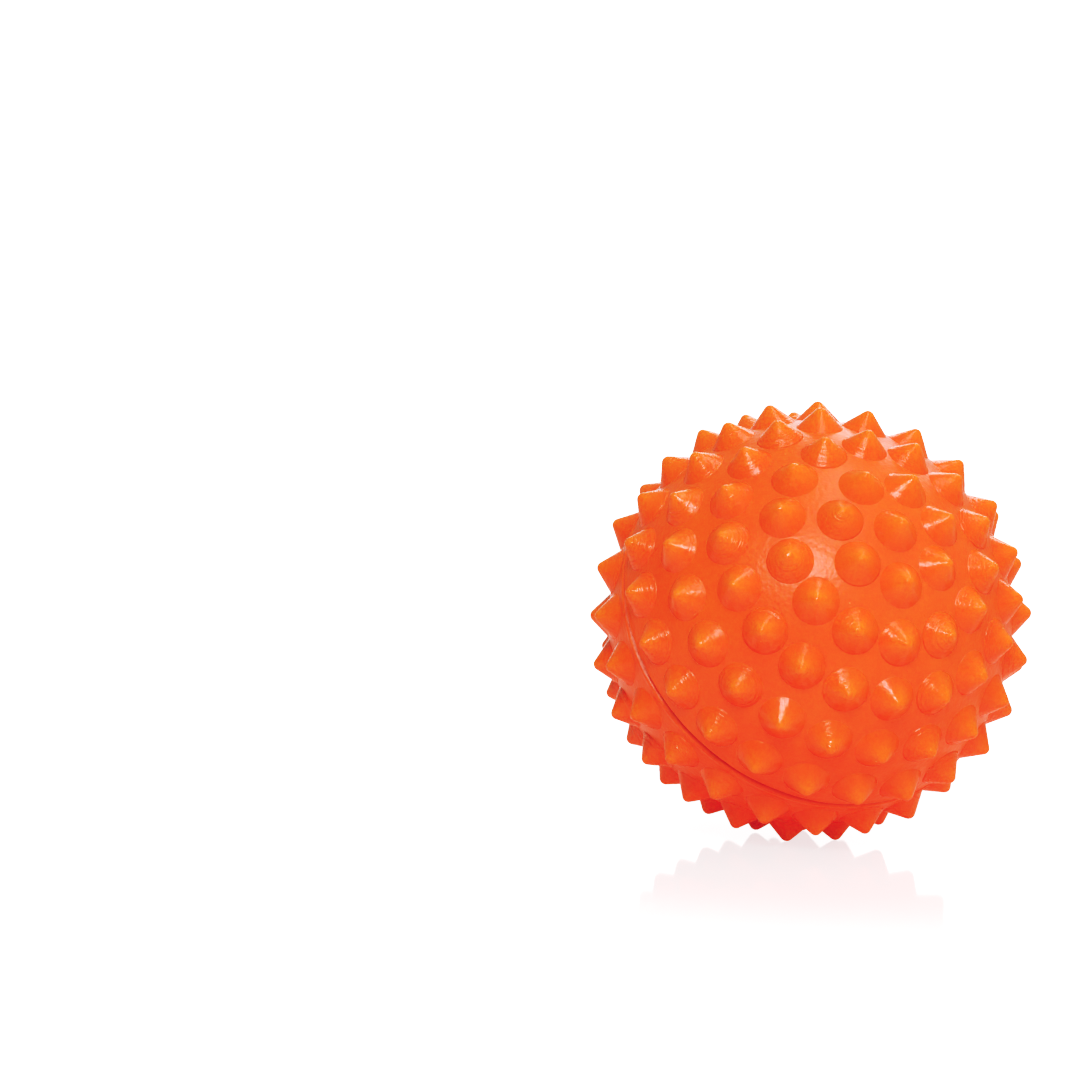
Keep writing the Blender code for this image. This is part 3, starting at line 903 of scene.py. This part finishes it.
def cement_material():
    """Clear amber solvent cement, with small bubbles and dull streaks."""
    n = Nodes("cement_bead_surface")
    cloud = n.noise(300.0, 3.0, 0.6)
    distance, _ = n.cells(1400.0)
    bubble = n.span(distance, 0.12, 0.28, 1.0, 0.0, smooth=True)
    colour = n.blend(n.span(cloud, 0.3, 0.7), (0.80, 0.36, 0.14), (0.88, 0.50, 0.26))
    n.put(n.shader.inputs["Base Color"], colour)
    n.put(n.shader.inputs["Roughness"], n.span(cloud, 0.3, 0.7, 0.18, 0.40))
    n.bump(n.math("SUBTRACT", n.math("MULTIPLY", cloud, 0.00008), n.math("MULTIPLY", bubble, 0.00003)))
    n.scatter(0.5, (1.0, 0.6, 0.3), 0.0015)
    return n.mat


def floor_material():
    """Pale polished studio floor. The camera sees it white; to the ball it is warmer and weaker, and it
    glows red as a painted bounce of the ball's own light.

    Its white glow is lower close to the ball, where the ball's reflection shows.
    """
    n = Nodes("studio_floor")
    cloud = n.noise(6.0, 2.0, 0.5)
    seen = n.new("ShaderNodeLightPath").outputs["Is Camera Ray"]
    pale = n.blend(cloud, (0.50, 0.50, 0.50), (0.53, 0.53, 0.53))
    # Rays other than the camera's meet a warm floor: a painted tint for the ball's light bounced back.
    n.put(n.shader.inputs["Base Color"], n.blend(seen, (0.85, 0.40, 0.37), pale))
    n.put(n.shader.inputs["Roughness"], n.span(cloud, 0.3, 0.7, 0.05, 0.07))
    n.shader.inputs["Specular IOR Level"].default_value = 0.25
    # Red glow for rays other than the camera's: painted bounce light from the ball.
    n.put(n.shader.inputs["Emission Color"], n.blend(seen, (1.0, 0.13, 0.07), (1.0, 1.0, 1.0)))
    across = n.new("ShaderNodeVectorMath", operation="LENGTH")
    n.put(across.inputs[0], n.spot())
    glow = n.span(across.outputs["Value"], *FLOOR_GLOW_REACH, FLOOR_GLOW_LOW, FLOOR_GLOW_HIGH, smooth=True)
    painted_bounce_glow = n.math("MULTIPLY", n.math("SUBTRACT", 1.0, seen), FLOOR_BOUNCE)
    n.put(n.shader.inputs["Emission Strength"], n.math("ADD", n.math("MULTIPLY", seen, glow), painted_bounce_glow))
    return n.mat


def make_floor():
    bm = bmesh.new()
    rings = []
    for radius in FLOOR_RADII:
        rings.append([bm.verts.new(v) for v in seam_ring(radius, 0.0, FLOOR_SIDES)])
    middle = bm.verts.new((0.0, 0.0, 0.0))
    for i in range(FLOOR_SIDES):
        j = (i + 1) % FLOOR_SIDES
        bm.faces.new((middle, rings[0][i], rings[0][j]))
        for lower, upper in zip(rings, rings[1:]):
            bm.faces.new((lower[i], upper[i], upper[j], lower[j]))
    mesh = bpy.data.meshes.new("studio_floor")
    bm.to_mesh(mesh)
    bm.free()
    mesh.shade_smooth()
    mesh.materials.append(floor_material())
    floor = bpy.data.objects.new("studio_floor", mesh)
    bpy.context.scene.collection.objects.link(floor)


def soft_box(name, heading, distance, size, power, up):
    """Rectangular light facing the ball. size is (across, along up), heading points at the light."""
    lamp = bpy.data.lights.new(name, "AREA")
    lamp.shape = "RECTANGLE"
    lamp.size, lamp.size_y = size
    lamp.energy = power
    holder = bpy.data.objects.new(name, lamp)
    bpy.context.scene.collection.objects.link(holder)
    back = Vector(heading).normalized()
    across = up.cross(back).normalized()
    turn = Matrix((across, back.cross(across), back)).transposed().to_4x4()
    holder.matrix_world = Matrix.Translation(BALL_CENTRE + back * distance) @ turn


def make_world():
    """White studio. Each kind of ray meets its own brightness.

    The camera sees plain white. Mirrored rays meet a dim room with a bright backdrop behind the ball, and
    all others a light that grows towards WORLD_TOWARDS.
    """
    world = bpy.data.worlds.new("studio")
    bpy.context.scene.world = world
    world.use_nodes = True
    world.cycles.sampling_method = "NONE"
    tree = world.node_tree
    background = tree.nodes["Background"]
    background.inputs["Color"].default_value = (1.0, 1.0, 1.0, 1.0)

    def node(kind, **values):
        made = tree.nodes.new(kind)
        for key, value in values.items():
            setattr(made, key, value)
        return made

    def link(a, b):
        tree.links.new(a, b)

    spot = node("ShaderNodeTexCoord")
    ray = node("ShaderNodeLightPath")

    def towards(heading, low, high, to_low, to_high):
        """Brightness that changes from to_low to to_high as a ray's direction nears the heading."""
        dot = node("ShaderNodeVectorMath", operation="DOT_PRODUCT")
        link(spot.outputs["Generated"], dot.inputs[0])
        dot.inputs[1].default_value = Vector(heading).normalized()
        span = node("ShaderNodeMapRange", interpolation_type="SMOOTHSTEP")
        link(dot.outputs["Value"], span.inputs["Value"])
        for label, number in zip(SPAN_LABELS, (low, high, to_low, to_high)):
            span.inputs[label].default_value = number
        return span.outputs[0]

    def either(factor, a, b):
        """b where the factor is 1, otherwise a."""
        mix = node("ShaderNodeMix", data_type="FLOAT")
        link(factor, mix.inputs[0])
        for socket, value in ((mix.inputs[2], a), (mix.inputs[3], b)):
            if isinstance(value, float):
                socket.default_value = value
            else:
                link(value, socket)
        return mix.outputs[0]

    diffuse = towards(WORLD_TOWARDS, -0.45, 1.0, WORLD_LOW, WORLD_HIGH)
    glossy = towards(GLOSSY_TOWARDS, 0.1, 0.95, GLOSSY_LOW, GLOSSY_HIGH)
    backdrop = towards(BACKDROP_TOWARDS, 0.955, 0.985, 0.0, BACKDROP_MIRRORED)
    both = node("ShaderNodeMath", operation="ADD")
    link(glossy, both.inputs[0])
    link(backdrop, both.inputs[1])
    strength = either(ray.outputs["Is Glossy Ray"], diffuse, both.outputs[0])
    strength = either(ray.outputs["Is Camera Ray"], strength, BACKDROP_SEEN)
    link(strength, background.inputs["Strength"])


def set_tones():
    """Display tones with a soft shoulder, so that the saturated orange keeps its shading."""
    settings = bpy.context.scene.view_settings
    settings.view_transform = "Standard"
    settings.use_curve_mapping = True
    tones = settings.curve_mapping
    tones.white_level = (WHITE, WHITE, WHITE)
    combined, blue = tones.curves[3], tones.curves[2]
    for curve, places in ((combined, TONES), (blue, BLUE_TONES)):
        curve.points[0].location = places[0]
        curve.points[1].location = places[-1]
        for place in places[1:-1]:
            curve.points.new(*place)
    tones.update()


def make_camera():
    data = bpy.data.cameras.new("camera")
    data.sensor_width = CAMERA_SENSOR
    data.lens = CAMERA_LENS
    camera = bpy.data.objects.new("camera", data)
    camera.location = CAMERA_PLACE
    camera.rotation_euler = [math.radians(angle) for angle in CAMERA_ANGLES]
    bpy.context.scene.collection.objects.link(camera)
    bpy.context.scene.camera = camera


def build():
    orange = orange_material()
    front_half = make_front_half(orange)
    rear_half = make_rear_half(orange)
    seat = make_seat(seat_material())
    plug = make_plug(plug_material())
    for piece, body, node, slot in (
        (front_half, "ball", "shell_front", "orange_pvc"),
        (rear_half, "ball", "shell_rear", "orange_pvc"),
        (seat, "ball", "valve_seat", "soft_pvc"),
        (plug, "plug", "valve_plug", "white_plastic"),
    ):
        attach(piece, body)
        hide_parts(node)
    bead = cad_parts["seam_bead"]
    bead.data.materials.clear()
    bead.data.materials.append(cement_material())
    make_floor()
    make_camera()
    for light in LIGHTS:
        soft_box(*light)
    make_world()
    set_tones()


build()
